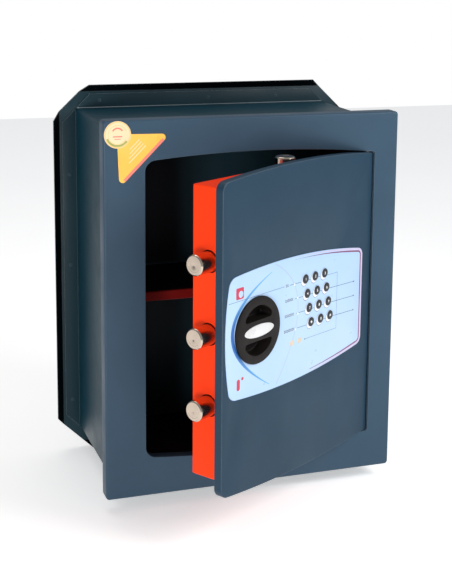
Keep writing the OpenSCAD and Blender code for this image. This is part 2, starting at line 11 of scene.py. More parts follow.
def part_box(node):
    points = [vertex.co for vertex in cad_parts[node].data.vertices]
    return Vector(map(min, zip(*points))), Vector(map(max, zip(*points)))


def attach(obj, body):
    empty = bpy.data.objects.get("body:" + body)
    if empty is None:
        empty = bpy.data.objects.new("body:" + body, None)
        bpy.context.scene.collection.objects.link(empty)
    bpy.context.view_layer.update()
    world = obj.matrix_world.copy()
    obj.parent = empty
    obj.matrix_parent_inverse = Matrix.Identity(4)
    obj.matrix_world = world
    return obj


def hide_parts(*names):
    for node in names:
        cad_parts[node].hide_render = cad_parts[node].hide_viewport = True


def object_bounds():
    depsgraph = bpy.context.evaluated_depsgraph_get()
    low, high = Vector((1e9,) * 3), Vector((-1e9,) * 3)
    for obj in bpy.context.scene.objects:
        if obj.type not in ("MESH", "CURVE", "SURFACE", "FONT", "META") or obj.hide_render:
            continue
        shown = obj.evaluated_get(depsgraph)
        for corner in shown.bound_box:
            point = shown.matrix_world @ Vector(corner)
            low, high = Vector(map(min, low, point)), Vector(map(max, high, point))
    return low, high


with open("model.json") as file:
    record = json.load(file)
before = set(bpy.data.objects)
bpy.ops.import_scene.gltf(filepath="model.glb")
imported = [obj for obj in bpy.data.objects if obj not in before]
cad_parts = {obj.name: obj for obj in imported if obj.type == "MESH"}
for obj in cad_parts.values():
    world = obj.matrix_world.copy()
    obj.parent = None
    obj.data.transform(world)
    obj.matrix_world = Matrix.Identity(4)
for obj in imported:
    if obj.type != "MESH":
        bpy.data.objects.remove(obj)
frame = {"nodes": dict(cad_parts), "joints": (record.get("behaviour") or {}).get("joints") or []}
cad_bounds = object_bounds()
MM = 0.001

# ---- Places: the wall's front face, and the door that swings from it ----


def joint(name):
    return next(j for j in frame["joints"] if j["name"] == name)


def place(right, inward, origin):
    """Matrix of a place whose X runs right, Y into the wall and Z up."""
    up = Vector((0, 0, 1))
    axes = Matrix((right, inward, up)).transposed().to_4x4()
    axes.translation = origin
    return axes


# The hinge axis, from the door's hinge edge and from its front
HINGE_INSET = 6.0
HINGE_DEEP = 6.2

door_right = Vector(joint("side_bolts_slide")["axis"]).normalized()
door_inward = Vector(joint("knob_turn")["axis"]).normalized()
hinge_point = Vector(joint("door_swing")["pos_m"])
door_corner = hinge_point + (door_right * HINGE_INSET - door_inward * HINGE_DEEP) * MM
FRONT = place(Vector((1, 0, 0)), Vector((0, 1, 0)), Vector((0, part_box("front_frame")[0].y, 0)))
# On the door, X is minus the distance from the hinge edge
DOOR = place(door_right, door_inward, door_corner)


def node_box(node, where):
    """Lowest and highest corner of a CAD node along a place's axes, in millimetres."""
    back = where.inverted()
    spots = [back @ v.co for v in frame["nodes"][node].data.vertices]
    low = Vector(min(p[i] for p in spots) for i in range(3)) / MM
    high = Vector(max(p[i] for p in spots) for i in range(3)) / MM
    return low, high


# ---- Outlines: counter-clockwise lists of (x, z) in millimetres ----


def arc(cx, cz, r, start, end, steps):
    """Points on a circle, between two angles in degrees."""
    angles = [math.radians(start + (end - start) * i / steps) for i in range(steps + 1)]
    return [(cx + r * math.cos(a), cz + r * math.sin(a)) for a in angles]


def circle(cx, cz, r, steps=96):
    return arc(cx, cz, r, 0, 360, steps)[:-1]


def rounded_rect(cx, cz, w, h, r, steps=8):
    loop = []
    for turn, (sx, sz) in enumerate([(1, 1), (-1, 1), (-1, -1), (1, -1)]):
        loop += arc(cx + sx * (w / 2 - r), cz + sz * (h / 2 - r), r, 90 * turn, 90 * turn + 90, steps)
    return loop


def both_halves(upper):
    """Closes an upper half, drawn from right to left, with its mirror image."""
    return upper + [(x, -z) for x, z in reversed(upper)]


def heading(cx, cz, x, z):
    return math.degrees(math.atan2(z - cz, x - cx))


def barrel(x0, x1, half, arch_r, r0, r1):
    """Straight sides, arched top and bottom, and round corners."""
    cx = (x0 + x1) / 2
    cz = half - arch_r
    left = x0 + r0
    right = x1 - r1
    left_z = cz + math.sqrt((arch_r - r0) ** 2 - (left - cx) ** 2)
    right_z = cz + math.sqrt((arch_r - r1) ** 2 - (right - cx) ** 2)
    right_turn = heading(cx, cz, right, right_z)
    left_turn = heading(cx, cz, left, left_z)
    upper = arc(right, right_z, r1, 0, right_turn, 8)
    upper += arc(cx, cz, arch_r, right_turn, left_turn, 48)[1:]
    upper += arc(left, left_z, r0, left_turn, 180, 12)[1:]
    return both_halves(upper)


def circles_meet(a, ra, b, rb):
    """Upper meeting point of two circles."""
    gap = (b - a).length
    along = (ra * ra - rb * rb + gap * gap) / (2 * gap)
    aside = math.sqrt(ra * ra - along * along)
    u = (b - a) / gap
    return a + u * along + Vector((u.y, -u.x)) * aside


def label_shape(x0, x1, half):
    """The label: arched top and bottom, curved free side, straight hinge side."""
    arch_r = 788
    arch_from_hinge = 144.8
    side_r = 280
    free_r = 12
    hinge_r = 9
    arch_c = Vector((x1 - arch_from_hinge, half - arch_r))
    side_c = Vector((x0 + side_r, 0))
    free_c = circles_meet(side_c, side_r - free_r, arch_c, arch_r - free_r)
    hinge_x = x1 - hinge_r
    hinge_z = arch_c.y + math.sqrt((arch_r - hinge_r) ** 2 - (hinge_x - arch_c.x) ** 2)
    hinge_turn = heading(*arch_c, hinge_x, hinge_z)
    free_turn = heading(*arch_c, *free_c)
    side_turn = heading(*side_c, *free_c)
    upper = arc(hinge_x, hinge_z, hinge_r, 0, hinge_turn, 10)
    upper += arc(*arch_c, arch_r, hinge_turn, free_turn, 36)[1:]
    upper += arc(*free_c, free_r, free_turn, side_turn, 10)[1:]
    upper += arc(*side_c, side_r, side_turn, 180, 16)[1:-1]
    return both_halves(upper)


def shifted(loop, dx, dz):
    return [(x + dx, z + dz) for x, z in loop]


def offset(loop, distance):
    """The loop grown outward by a distance, or inward where it is negative."""
    spike_limit = 0.5
    grown = []
    for i, here in enumerate(loop):
        before = Vector(here) - Vector(loop[i - 1])
        after = Vector(loop[(i + 1) % len(loop)]) - Vector(here)
        n0 = Vector((before.y, -before.x)).normalized()
        n1 = Vector((after.y, -after.x)).normalized()
        middle = (n0 + n1).normalized()
        reach = distance / max(spike_limit, middle.dot(n0))
        grown.append((here[0] + middle.x * reach, here[1] + middle.y * reach))
    return grown


# ---- Edges: (offset, depth) steps that round off a chain of loops ----


def front_edge(r, depth, side=1, steps=4):
    """Rounded edge at the front; side is 1 for an outer outline and -1 for a hole."""
    turns = [math.pi / 2 * i / steps for i in range(steps + 1)]
    return [(side * r * (math.sin(a) - 1), depth + r * (1 - math.cos(a))) for a in turns]


def back_edge(r, depth, side=1, steps=4):
    turns = [math.pi / 2 * (1 - i / steps) for i in range(steps + 1)]
    return [(side * r * (math.sin(a) - 1), depth - r * (1 - math.cos(a))) for a in turns]


# ---- Forms: meshes in the making ----


class Form:
    """A mesh in the making, in millimetres along a place's axes."""

    THINNEST = 0.01

    def __init__(self):
        self.bm = bmesh.new()
        self.paint = 0

    def claim(self):
        """Gives the faces made since the last call the current material."""
        for face in self.bm.faces:
            if not face.tag:
                face.material_index = self.paint
                face.tag = True

    def vert(self, x, y, z):
        return self.bm.verts.new((x * MM, y * MM, z * MM))

    def fill(self, rings):
        edges = []
        for ring in rings:
            pairs = zip(ring, ring[1:] + ring[:1])
            edges += [self.bm.edges.get(pair) or self.bm.edges.new(pair) for pair in pairs]
        bmesh.ops.triangle_fill(self.bm, edges=edges, use_beauty=True)
        self.claim()

    def chain(self, loop, steps):
        """Skins a loop at each (offset, depth) step, and returns its rings."""
        rings = []
        for shift, depth in steps:
            grown = offset(loop, shift) if shift else loop
            rings.append([self.vert(x, depth, z) for x, z in grown])
        self.skin(rings)
        return rings

    def skin(self, rings):
        for a, b in zip(rings, rings[1:]):
            for i in range(len(a)):
                self.bm.faces.new((a[i - 1], a[i], b[i], b[i - 1]))
        self.claim()

    def solid(self, loop, steps, holes=()):
        """A closed plate; each hole is (loop, steps), from the same front to the same back."""
        chains = [self.chain(loop, steps)] + [self.chain(*hole) for hole in holes]
        self.fill([rings[0] for rings in chains])
        self.fill([rings[-1] for rings in chains])

    def turn(self, profile, centre=(0, 0), steps=72):
        """Turns (radius, depth) points round an axis along Y."""
        rings = []
        for radius, depth in profile:
            loop = circle(*centre, max(radius, self.THINNEST), steps)
            rings.append([self.vert(x, depth, z) for x, z in loop])
        self.skin(rings)
        self.fill([rings[0]])
        self.fill([rings[-1]])

    def prism(self, profile, spans):
        """Stretches a (y, z) profile along X, with its own span (x0, x1) at each point."""
        low = [self.vert(span[0], y, z) for (y, z), span in zip(profile, spans)]
        high = [self.vert(span[1], y, z) for (y, z), span in zip(profile, spans)]
        self.skin([low, high])
        self.fill([low])
        self.fill([high])

    def stroke(self, path, width, depth):
        """Flat printed line along a path; width is one number or one per point."""
        widths = width if isinstance(width, list) else [width] * len(path)
        rows = []
        for i, here in enumerate(path):
            along = Vector(path[min(i + 1, len(path) - 1)]) - Vector(path[max(i - 1, 0)])
            aside = Vector((-along.y, along.x)).normalized() * widths[i] / 2
            ends = (Vector(here) + aside, Vector(here) - aside)
            rows.append([self.vert(p.x, depth, p.y) for p in ends])
        for a, b in zip(rows, rows[1:]):
            self.bm.faces.new((a[0], a[1], b[1], b[0]))
        self.claim()

    def disc(self, cx, cz, r, depth, steps=40):
        self.fill([[self.vert(x, depth, z) for x, z in circle(cx, cz, r, steps)]])

    def glyph(self, sign, cx, cz, size, depth):
        """One flat sign, such as a key's digit."""
        boldness = 0.016
        curve = bpy.data.curves.new("glyph", "FONT")
        curve.body = sign
        curve.size = size * MM
        curve.align_x = "CENTER"
        curve.offset = boldness * size * MM
        carrier = bpy.data.objects.new("glyph", curve)
        bpy.context.scene.collection.objects.link(carrier)
        bpy.context.view_layer.update()
        mesh = bpy.data.meshes.new_from_object(carrier)
        middle = sum((v.co for v in mesh.vertices), Vector()) / len(mesh.vertices)
        top = max(v.co.y for v in mesh.vertices)
        low = min(v.co.y for v in mesh.vertices)
        middle.y = (top + low) / 2
        upright = Matrix.Rotation(math.pi / 2, 4, "X")
        spot = Matrix.Translation((cx * MM, depth * MM, cz * MM))
        mesh.transform(spot @ upright @ Matrix.Translation(-middle))
        self.bm.from_mesh(mesh)
        self.claim()
        bpy.data.objects.remove(carrier)
        bpy.data.meshes.remove(mesh)

    def cut(self, cutters, materials):
        """Takes the cutters' forms away, with an exact boolean."""
        body = self.object("body", materials)
        for number, cutter in enumerate(cutters):
            tool = cutter.object("cutter", materials)
            modifier = body.modifiers.new("cut%d" % number, "BOOLEAN")
            modifier.object = tool
            modifier.operation = "DIFFERENCE"
            modifier.solver = "EXACT"
        bpy.context.view_layer.update()
        shaped = body.evaluated_get(bpy.context.evaluated_depsgraph_get())
        mesh = bpy.data.meshes.new_from_object(shaped)
        for modifier in list(body.modifiers):
            bpy.data.objects.remove(modifier.object)
        bpy.data.objects.remove(body)
        self.bm = bmesh.new()
        self.bm.from_mesh(mesh)
        for face in self.bm.faces:
            face.tag = True

    def object(self, name, materials):
        bmesh.ops.recalc_face_normals(self.bm, faces=self.bm.faces)
        mesh = bpy.data.meshes.new(name)
        self.bm.to_mesh(mesh)
        for material in materials:
            mesh.materials.append(material)
        made = bpy.data.objects.new(name, mesh)
        bpy.context.scene.collection.objects.link(made)
        return made

    def piece(self, name, where, body, materials, replaces=(), sharp=32, bevel=0):
        """Finishes the form as a piece that rides on a CAD body."""
        bevel_above = 40
        made = self.object(name, materials)
        made.matrix_world = where
        if bevel:
            modifier = made.modifiers.new("edges", "BEVEL")
            modifier.width = bevel * MM
            modifier.segments = 3
            modifier.limit_method = "ANGLE"
            modifier.angle_limit = math.radians(bevel_above)
        made.data.shade_smooth()
        made.data.set_sharp_from_angle(angle=math.radians(sharp))
        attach(made, body)
        if replaces:
            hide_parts(*replaces)
        return made


# ---- Materials ----


def linear(red, green, blue):
    """A display colour, 0 to 255, as linear light."""
    shares = [c / 255 for c in (red, green, blue)]
    return tuple(c / 12.92 if c < 0.04045 else ((c + 0.055) / 1.055) ** 2.4 for c in shares) + (1.0,)


def toned(colour, factor):
    return tuple(min(1.0, c * factor) for c in colour[:3]) + (1.0,)


# Pale edge colour: worn paint and a painted edge highlight.
WORN_AND_LIT_EDGE = linear(190, 200, 205)
RUBBED_PLASTIC = linear(150, 146, 140)


class Surface:
    """A procedural material under construction."""

    def __init__(self, name, **settings):
        self.material = bpy.data.materials.new(name)
        self.material.use_nodes = True
        self.tree = self.material.node_tree
        self.shader = next(n for n in self.tree.nodes if n.type == "BSDF_PRINCIPLED")
        for key, value in settings.items():
            self.shader.inputs[key.replace("_", " ")].default_value = value
        self.coords = self.tree.nodes.new("ShaderNodeTexCoord").outputs["Object"]

    def put(self, value, socket):
        if isinstance(value, bpy.types.NodeSocket):
            self.tree.links.new(value, socket)
        else:
            socket.default_value = value

    def math(self, operation, a, b=0.0):
        node = self.tree.nodes.new("ShaderNodeMath")
        node.operation = operation
        self.put(a, node.inputs[0])
        self.put(b, node.inputs[1])
        return node.outputs[0]

    def stretched(self, scale):
        node = self.tree.nodes.new("ShaderNodeMapping")
        self.tree.links.new(self.coords, node.inputs["Vector"])
        node.inputs["Scale"].default_value = scale
        return node.outputs[0]

    def noise(self, scale, detail, stretch=None):
        node = self.tree.nodes.new("ShaderNodeTexNoise")
        self.tree.links.new(self.stretched(stretch) if stretch else self.coords, node.inputs["Vector"])
        node.inputs["Scale"].default_value = scale
        node.inputs["Detail"].default_value = detail
        return node.outputs["Fac"]

    def speckle(self, scale, randomness=1.0):
        node = self.tree.nodes.new("ShaderNodeTexVoronoi")
        self.tree.links.new(self.coords, node.inputs["Vector"])
        node.inputs["Scale"].default_value = scale
        node.inputs["Randomness"].default_value = randomness
        return node.outputs["Distance"]

    def spread(self, value, low, high, to_low=0.0, to_high=1.0):
        node = self.tree.nodes.new("ShaderNodeMapRange")
        self.put(value, node.inputs["Value"])
        node.inputs["From Min"].default_value = low
        node.inputs["From Max"].default_value = high
        node.inputs["To Min"].default_value = to_low
        node.inputs["To Max"].default_value = to_high
        return node.outputs[0]

    def mottle(self, scale, detail, to_low=0.0, to_high=1.0):
        """Soft patches that run from one value to another."""
        return self.spread(self.noise(scale, detail), 0.3, 0.7, to_low, to_high)

    def blend(self, share, a, b):
        node = self.tree.nodes.new("ShaderNodeMix")
        node.data_type = "RGBA"
        self.put(share, node.inputs["Factor"])
        self.put(a, node.inputs[6])
        self.put(b, node.inputs[7])
        return node.outputs[2]

    def axis(self, name):
        node = self.tree.nodes.new("ShaderNodeSeparateXYZ")
        self.tree.links.new(self.coords, node.inputs[0])
        return node.outputs[name]

    def sharp_edges(self):
        """1 close to an edge of the piece, and 0 away from it."""
        reach = 0.8
        rounded = self.tree.nodes.new("ShaderNodeBevel")
        rounded.samples = 4
        rounded.inputs["Radius"].default_value = reach * MM
        plain = self.tree.nodes.new("ShaderNodeNewGeometry")
        dot = self.tree.nodes.new("ShaderNodeVectorMath")
        dot.operation = "DOT_PRODUCT"
        self.tree.links.new(rounded.outputs[0], dot.inputs[0])
        self.tree.links.new(plain.outputs["Normal"], dot.inputs[1])
        return self.spread(dot.outputs["Value"], 0.86, 0.995, 1.0, 0.0)

    def bump(self, height, depth, strength):
        """Raises the surface by a height of 0 to 1 times a depth in millimetres."""
        node = self.tree.nodes.new("ShaderNodeBump")
        node.inputs["Strength"].default_value = strength
        node.inputs["Distance"].default_value = depth * MM
        self.put(height, node.inputs["Height"])
        self.tree.links.new(node.outputs[0], self.shader.inputs["Normal"])

    def finish(self, colour, roughness):
        self.put(colour, self.shader.inputs["Base Color"])
        self.put(roughness, self.shader.inputs["Roughness"])
        return self.material


def powder_coat(name, colour, rough=0.42, patchy=0.08, edge_wear_and_highlight=0.35, specular=0.16):
    """Sprayed and baked paint: orange peel, faint patches, and edges paled partly by wear, partly by a
    painted highlight.
    """
    look = Surface(name, Specular_IOR_Level=specular)
    clouds = look.spread(look.noise(7, 4), 0.35, 0.65)
    base = look.blend(clouds, toned(colour, 1 - patchy), toned(colour, 1 + patchy))
    grain = look.mottle(1700, 2, 0.0, 0.24)
    base = look.blend(grain, base, toned(colour, 1.35))
    smudges = look.spread(look.noise(34, 5), 0.56, 0.72, 0.0, 0.3)
    base = look.blend(smudges, base, toned(colour, 0.82))
    # Paler edges: partly wear, partly a painted highlight along the edges.
    edges = look.math("MULTIPLY", look.sharp_edges(), edge_wear_and_highlight)
    base = look.blend(edges, base, WORN_AND_LIT_EDGE)
    peel = look.math("ADD", look.noise(620, 2), look.math("MULTIPLY", look.noise(2300, 1), 0.35))
    look.bump(peel, 0.05, 0.6)
    return look.finish(base, look.mottle(22, 4, rough - 0.06, rough + 0.08))


def turned_metal(name, colour, rough=0.14):
    """Steel from a lathe: fine rings round the axis, which is Y, and on the end."""
    look = Surface(name, Metallic=1.0, Anisotropic=0.35)
    squares = [look.math("POWER", look.math("ABSOLUTE", look.axis(side)), 2.0) for side in ("X", "Z")]
    radius = look.math("SQRT", look.math("ADD", *squares))
    ring = look.tree.nodes.new("ShaderNodeTexNoise")
    ring.noise_dimensions = "1D"
    ring.inputs["Scale"].default_value = 2600
    ring.inputs["Detail"].default_value = 2
    look.put(look.math("ADD", radius, look.axis("Y")), ring.inputs["W"])
    lines = ring.outputs["Fac"]
    film = look.spread(look.noise(90, 5), 0.35, 0.7)
    base = look.blend(look.math("MULTIPLY", film, 0.24), colour, toned(colour, 0.72))
    base = look.blend(look.spread(lines, 0.4, 0.7, 0.0, 0.25), base, toned(colour, 0.8))
    look.bump(lines, 0.02, 0.7)
    return look.finish(base, look.mottle(160, 4, rough - 0.04, rough + 0.1))


def sheet_zinc(name, colour, rough=0.34):
    """Pressed and zinc-plated steel, brushed one way."""
    look = Surface(name, Metallic=1.0)
    brushed = look.noise(60, 4, stretch=(1, 1, 40))
    spangle = look.spread(look.speckle(180), 0.0, 0.8)
    base = look.blend(spangle, toned(colour, 0.78), colour)
    base = look.blend(look.spread(brushed, 0.4, 0.6, 0.0, 0.3), base, toned(colour, 0.66))
    look.bump(brushed, 0.03, 0.6)
    return look.finish(base, look.spread(spangle, 0.0, 1.0, rough - 0.05, rough + 0.1))


def moulded(name, colour, rough, wear=0.15, **settings):
    """Injection-moulded plastic: fine spark texture and soft shine."""
    look = Surface(name, **settings)
    patches = look.mottle(26, 4)
    base = look.blend(patches, toned(colour, 0.88), toned(colour, 1.12))
    rubbed = look.math("MULTIPLY", look.sharp_edges(), wear)
    base = look.blend(rubbed, base, RUBBED_PLASTIC)
    look.bump(look.math("ADD", look.noise(1900, 2), look.noise(5200, 1)), 0.03, 0.7)
    return look.finish(base, look.mottle(70, 3, rough - 0.07, rough + 0.08))


def film_finish(look, base, glint, rough=0.32):
    """Dot grain, faint ripples and a satin shine over printed ink."""
    dots = look.spread(look.speckle(2600, 0.3), 0.1, 0.5, 0.0, 0.1)
    look.bump(look.noise(850, 2), 0.012, 0.5)
    shine = look.mottle(60, 4, rough - 0.05, rough + 0.07)
    return look.finish(look.blend(dots, base, glint), shine)


def printed_film(name, colour, deep, rough=0.32):
    """Printed polyester: two inks that fade into each other, under a clear coat."""
    look = Surface(name, Coat_Weight=0.25, Coat_Roughness=0.16)
    fade = look.mottle(9, 3)
    return film_finish(look, look.blend(fade, colour, deep), toned(colour, 1.15), rough)


def faded_ink(name, middle, ends, start, stop):
    """Ink that goes from one colour to another, start to stop metres above and below the middle."""
    look = Surface(name, Coat_Weight=0.25, Coat_Roughness=0.16)
    share = look.spread(look.math("ABSOLUTE", look.axis("Z")), start, stop)
    return film_finish(look, look.blend(share, middle, ends), toned(middle, 1.3))


def circuit_mask(name, colour):
    """Green solder mask with a fine pattern of tracks below it."""
    look = Surface(name, Coat_Weight=0.4, Coat_Roughness=0.2)
    tracks = look.spread(look.noise(120, 0, stretch=(3, 1, 0.4)), 0.47, 0.5)
    base = look.blend(tracks, colour, toned(colour, 1.6))
    look.bump(tracks, 0.03, 0.8)
    return look.finish(base, look.mottle(200, 2, 0.3, 0.45))


def studio_floor(name):
    """Pale matt floor that glows a little, which softens the shadows."""
    look = Surface(name, Specular_IOR_Level=0.2)
    base = look.blend(look.noise(3, 4), linear(246, 246, 245), linear(252, 252, 252))
    look.shader.inputs["Emission Color"].default_value = (1, 1, 1, 1)
    look.shader.inputs["Emission Strength"].default_value = 0.44
    look.bump(look.noise(260, 4), 0.05, 0.4)
    return look.finish(base, look.mottle(12, 3, 0.7, 0.8))


face_paint = powder_coat("face_paint", linear(52, 73, 90))
# Darker copy of the face's paint for the door: painted shade.
shaded_door_paint = powder_coat("shaded_door_paint", linear(34, 57, 74), rough=0.4, edge_wear_and_highlight=0.55)
# Darker copy of the face's paint for the body's walls, hinge blocks and shelf brackets: painted shade.
shaded_body_paint = powder_coat("shaded_body_paint", linear(7, 49, 62), rough=0.4, edge_wear_and_highlight=0.5, specular=0.2)
# Darker copy of the face's paint for the flange and the back sheet: painted shade.
flange_paint = powder_coat("flange_paint", linear(24, 46, 54), rough=0.46, specular=0.15)
# Near-black copy of the same paint for the anchor lips, which face away from the light: painted shade.
lip_shade_paint = powder_coat("lip_shade_paint", linear(5, 10, 13), rough=0.38, specular=0.05)
# Very dark paint on the inside of the walls: painted shade.
inner_shade_paint = powder_coat("inner_shade_paint", linear(30, 18, 20), rough=0.6, specular=0.15)
shelf_paint = powder_coat("shelf_paint", linear(24, 13, 14), rough=0.5, edge_wear_and_highlight=0.1)
# Dark red on the front of the shelf's lip: a painted reflection of the orange cover.
shelf_lip_reflection_paint = powder_coat("shelf_lip_reflection_paint", linear(104, 10, 8), rough=0.45, edge_wear_and_highlight=0.1)
cover_paint = powder_coat("cover_paint", linear(254, 62, 22), rough=0.4, patchy=0.05, edge_wear_and_highlight=0.0,
                          specular=0.05)
weld_bead = powder_coat("weld_bead", linear(38, 60, 68), rough=0.5)
bolt_steel = turned_metal("bolt_steel", linear(206, 190, 174))
pin_steel = turned_metal("pin_steel", linear(176, 176, 174), rough=0.3)
sheet_steel = sheet_zinc("sheet_steel", linear(190, 190, 184))
guide_steel = sheet_zinc("guide_steel", linear(34, 30, 29), rough=0.5)
knob_plastic = moulded("knob_plastic", linear(24, 20, 19), rough=0.5, wear=0.25, Specular_IOR_Level=0.15)
dark_plastic = moulded("dark_plastic", linear(22, 22, 24), rough=0.5)
key_black = moulded("key_black", linear(22, 23, 28), rough=0.42, wear=0.0)
key_white = moulded("key_white", linear(214, 217, 224), rough=0.4, wear=0.0)
digit_white = moulded("digit_white", linear(250, 250, 250), rough=0.5, wear=0.0)
badge_white = moulded("badge_white", linear(200, 200, 200), rough=0.28, wear=0.0, Coat_Weight=0.3)
pale_plastic = moulded("pale_plastic", linear(206, 202, 192), rough=0.5)
window_tan = moulded("window_tan", linear(212, 186, 156), rough=0.35, wear=0.0, Subsurface_Weight=0.15)
label_film = printed_film("label_film", linear(158, 188, 222), linear(169, 195, 227))
ink_grey = printed_film("ink_grey", linear(34, 50, 64), linear(48, 64, 78))
ink_blue = faded_ink("ink_blue", linear(0, 84, 160), linear(84, 168, 222), 0.012, 0.062)
ink_lilac = printed_film("ink_lilac", linear(148, 150, 206), linear(160, 162, 212))
ink_purple = printed_film("ink_purple", linear(104, 30, 76), linear(122, 54, 108))
ink_pale = printed_film("ink_pale", linear(216, 218, 232), linear(224, 226, 236))
ink_mark = printed_film("ink_mark", linear(176, 12, 50), linear(190, 24, 64))
ink_margin = printed_film("ink_margin", linear(176, 170, 200), linear(184, 180, 208))
INKS = [ink_grey, ink_blue, ink_lilac, ink_purple, ink_pale, ink_mark, ink_margin]
GREY, BLUE, LILAC, PURPLE, PALE, MARK, MARGIN = range(len(INKS))
sticker_cream = printed_film("sticker_cream", linear(240, 206, 164), linear(244, 216, 178))
sticker_gold = printed_film("sticker_gold", linear(244, 196, 96), linear(240, 172, 40))
sticker_rose = printed_film("sticker_rose", linear(236, 108, 92), linear(242, 140, 126))
sticker_olive = printed_film("sticker_olive", linear(150, 158, 84), linear(168, 172, 104))
board_green = circuit_mask("board_green", linear(28, 96, 56))
cell_sleeve = printed_film("cell_sleeve", linear(136, 100, 58), linear(150, 112, 66), rough=0.3)

# ---- Front frame, collar and body ----

OPENING_ARCH_R = 1257
BOLT_SIDE_R = 12
HINGE_SIDE_R = 2.5
SHEET = 3.0
SHEARED_R = 0.3

frame_low, frame_high = node_box("front_frame", FRONT)
collar_low, collar_high = node_box("opening_collar", FRONT)
open_x0 = collar_low.x + SHEET
open_x1 = collar_high.x - SHEET
open_half = collar_high.z - SHEET


def opening(grow):
    return barrel(open_x0 - grow, open_x1 + grow, open_half + grow, OPENING_ARCH_R + grow,
                  BOLT_SIDE_R + grow, HINGE_SIDE_R + grow)


def sheared_edges(front, back):
    """Slightly rounded edges of a plate, from its front to its back."""
    return front_edge(SHEARED_R, front, 1, 2) + back_edge(SHEARED_R, back, 1, 2)


def make_front_frame():
    width = frame_high.x - frame_low.x
    height = frame_high.z - frame_low.z
    fold = frame_high.y
    corner_r = 4
    bend_r = 2.2
    lip_r = 0.4
    mouth_r = 0.7
    folded = front_edge(bend_r, 0) + back_edge(lip_r, fold)
    folded += [(SHEARED_R - SHEET, fold), (-SHEET, fold - SHEARED_R), (-SHEET, SHEET)]
    mouth = front_edge(mouth_r, 0, -1) + [(0, SHEET)]
    form = Form()
    form.solid(rounded_rect(0, 0, width, height, corner_r), folded, [(opening(0), mouth)])
    form.piece("front_frame_sheet", FRONT, "body", [face_paint], ["front_frame"])
    form = Form()
    inner = front_edge(0.1, SHEET, -1, 1) + back_edge(0.5, collar_high.y, -1)
    form.solid(opening(SHEET), [(0, SHEET), (0, collar_high.y)], [(opening(0), inner)])
    form.piece("opening_collar_strip", FRONT, "body", [face_paint], ["opening_collar"])


def make_body():
    """Four walls, dark inside as painted shade, with a mitred flange round their rear."""
    high = node_box("body_shell", FRONT)[1]
    flange_w = 17
    flange_front = 200
    outer_r = 2.4
    inner_r = 0.8
    half_w = high.x - flange_w
    half_h = high.z - flange_w
    ends = [(0, SHEET), (0, high.y)]
    form = Form()
    inner = form.chain(rounded_rect(0, 0, 2 * (half_w - SHEET), 2 * (half_h - SHEET), inner_r, 4), ends)
    form.paint = 1
    outer = form.chain(rounded_rect(0, 0, 2 * half_w, 2 * half_h, outer_r, 4), ends)
    form.fill([outer[0], inner[0]])
    form.fill([outer[1], inner[1]])
    form.piece("body_walls", FRONT, "body", [inner_shade_paint, shaded_body_paint], ["body_shell"])
    for side, (half_len, base) in enumerate([(half_w, half_h), (half_h, half_w)] * 2):
        make_flange(side, half_len, base, flange_w, flange_front, high.y)


def make_flange(side, half_len, base, width, front, back):
    """One strip of the flange, with the weld seams at its wall and its mitres."""
    seam_w = 0.9
    seam_in = 0.6
    seam_front = front - 0.12
    spot_in = 9
    spot_shares = (-0.82, 0.04, 0.6)
    spot_weld = [(1.9, front - 0.02), (1.6, front - 0.18), (0.5, front - 0.24)]
    strip = [(half_len, base), (half_len - width, base + width),
             (width - half_len, base + width), (-half_len, base)]
    form = Form()
    form.solid(strip, sheared_edges(front, back))
    form.paint = 1
    for end in (-1, 1):
        mitre = [(end * half_len, base), (end * (half_len - width), base + width)]
        form.stroke(mitre, seam_w, seam_front)
    form.stroke([(-half_len, base + seam_in), (half_len, base + seam_in)], seam_w, seam_front)
    for share in spot_shares:
        form.turn(spot_weld, (share * half_len, base + spot_in), 20)
    around = FRONT @ Matrix.Rotation(math.radians(-90 * side), 4, "Y")
    form.piece("flange_%d" % side, around, "body", [flange_paint, weld_bead], ["body_shell"])


def make_back_panel():
    """A sheet with cut corners, and a bent anchor lip along each side."""
    high = node_box("back_panel", FRONT)[1]
    lip = 8
    trim = 10
    cut_w = 25
    cut_h = 24
    overlap = 1
    panel_front = high.y - SHEET
    panel_x = high.x - lip
    panel_z = high.z - lip
    half_w = panel_x - cut_w
    half_h = panel_z - cut_h
    corners = [(panel_x, half_h), (half_w, panel_z), (-half_w, panel_z), (-panel_x, half_h),
               (-panel_x, -half_h), (-half_w, -panel_z), (half_w, -panel_z), (panel_x, -half_h)]
    form = Form()
    form.solid(corners, sheared_edges(panel_front, high.y))
    form.piece("back_sheet", FRONT, "body", [flange_paint], ["back_panel"])
    for side, (half_len, reach) in enumerate([(half_w, panel_z), (half_h, panel_x)] * 2):
        profile = [(panel_front, reach - overlap), (high.y, reach - overlap), (high.y, reach),
                   (high.y - lip, reach + lip), (panel_front - lip, reach + lip), (panel_front, reach)]
        ends = [half_len, half_len, half_len, half_len - trim, half_len - trim, half_len]
        form = Form()
        form.prism(profile, [(-end, end) for end in ends])
        around = FRONT @ Matrix.Rotation(math.radians(90 * side), 4, "Y")
        form.piece("anchor_lip_%d" % side, around, "body", [lip_shade_paint], ["back_panel"],
                   bevel=0.5)


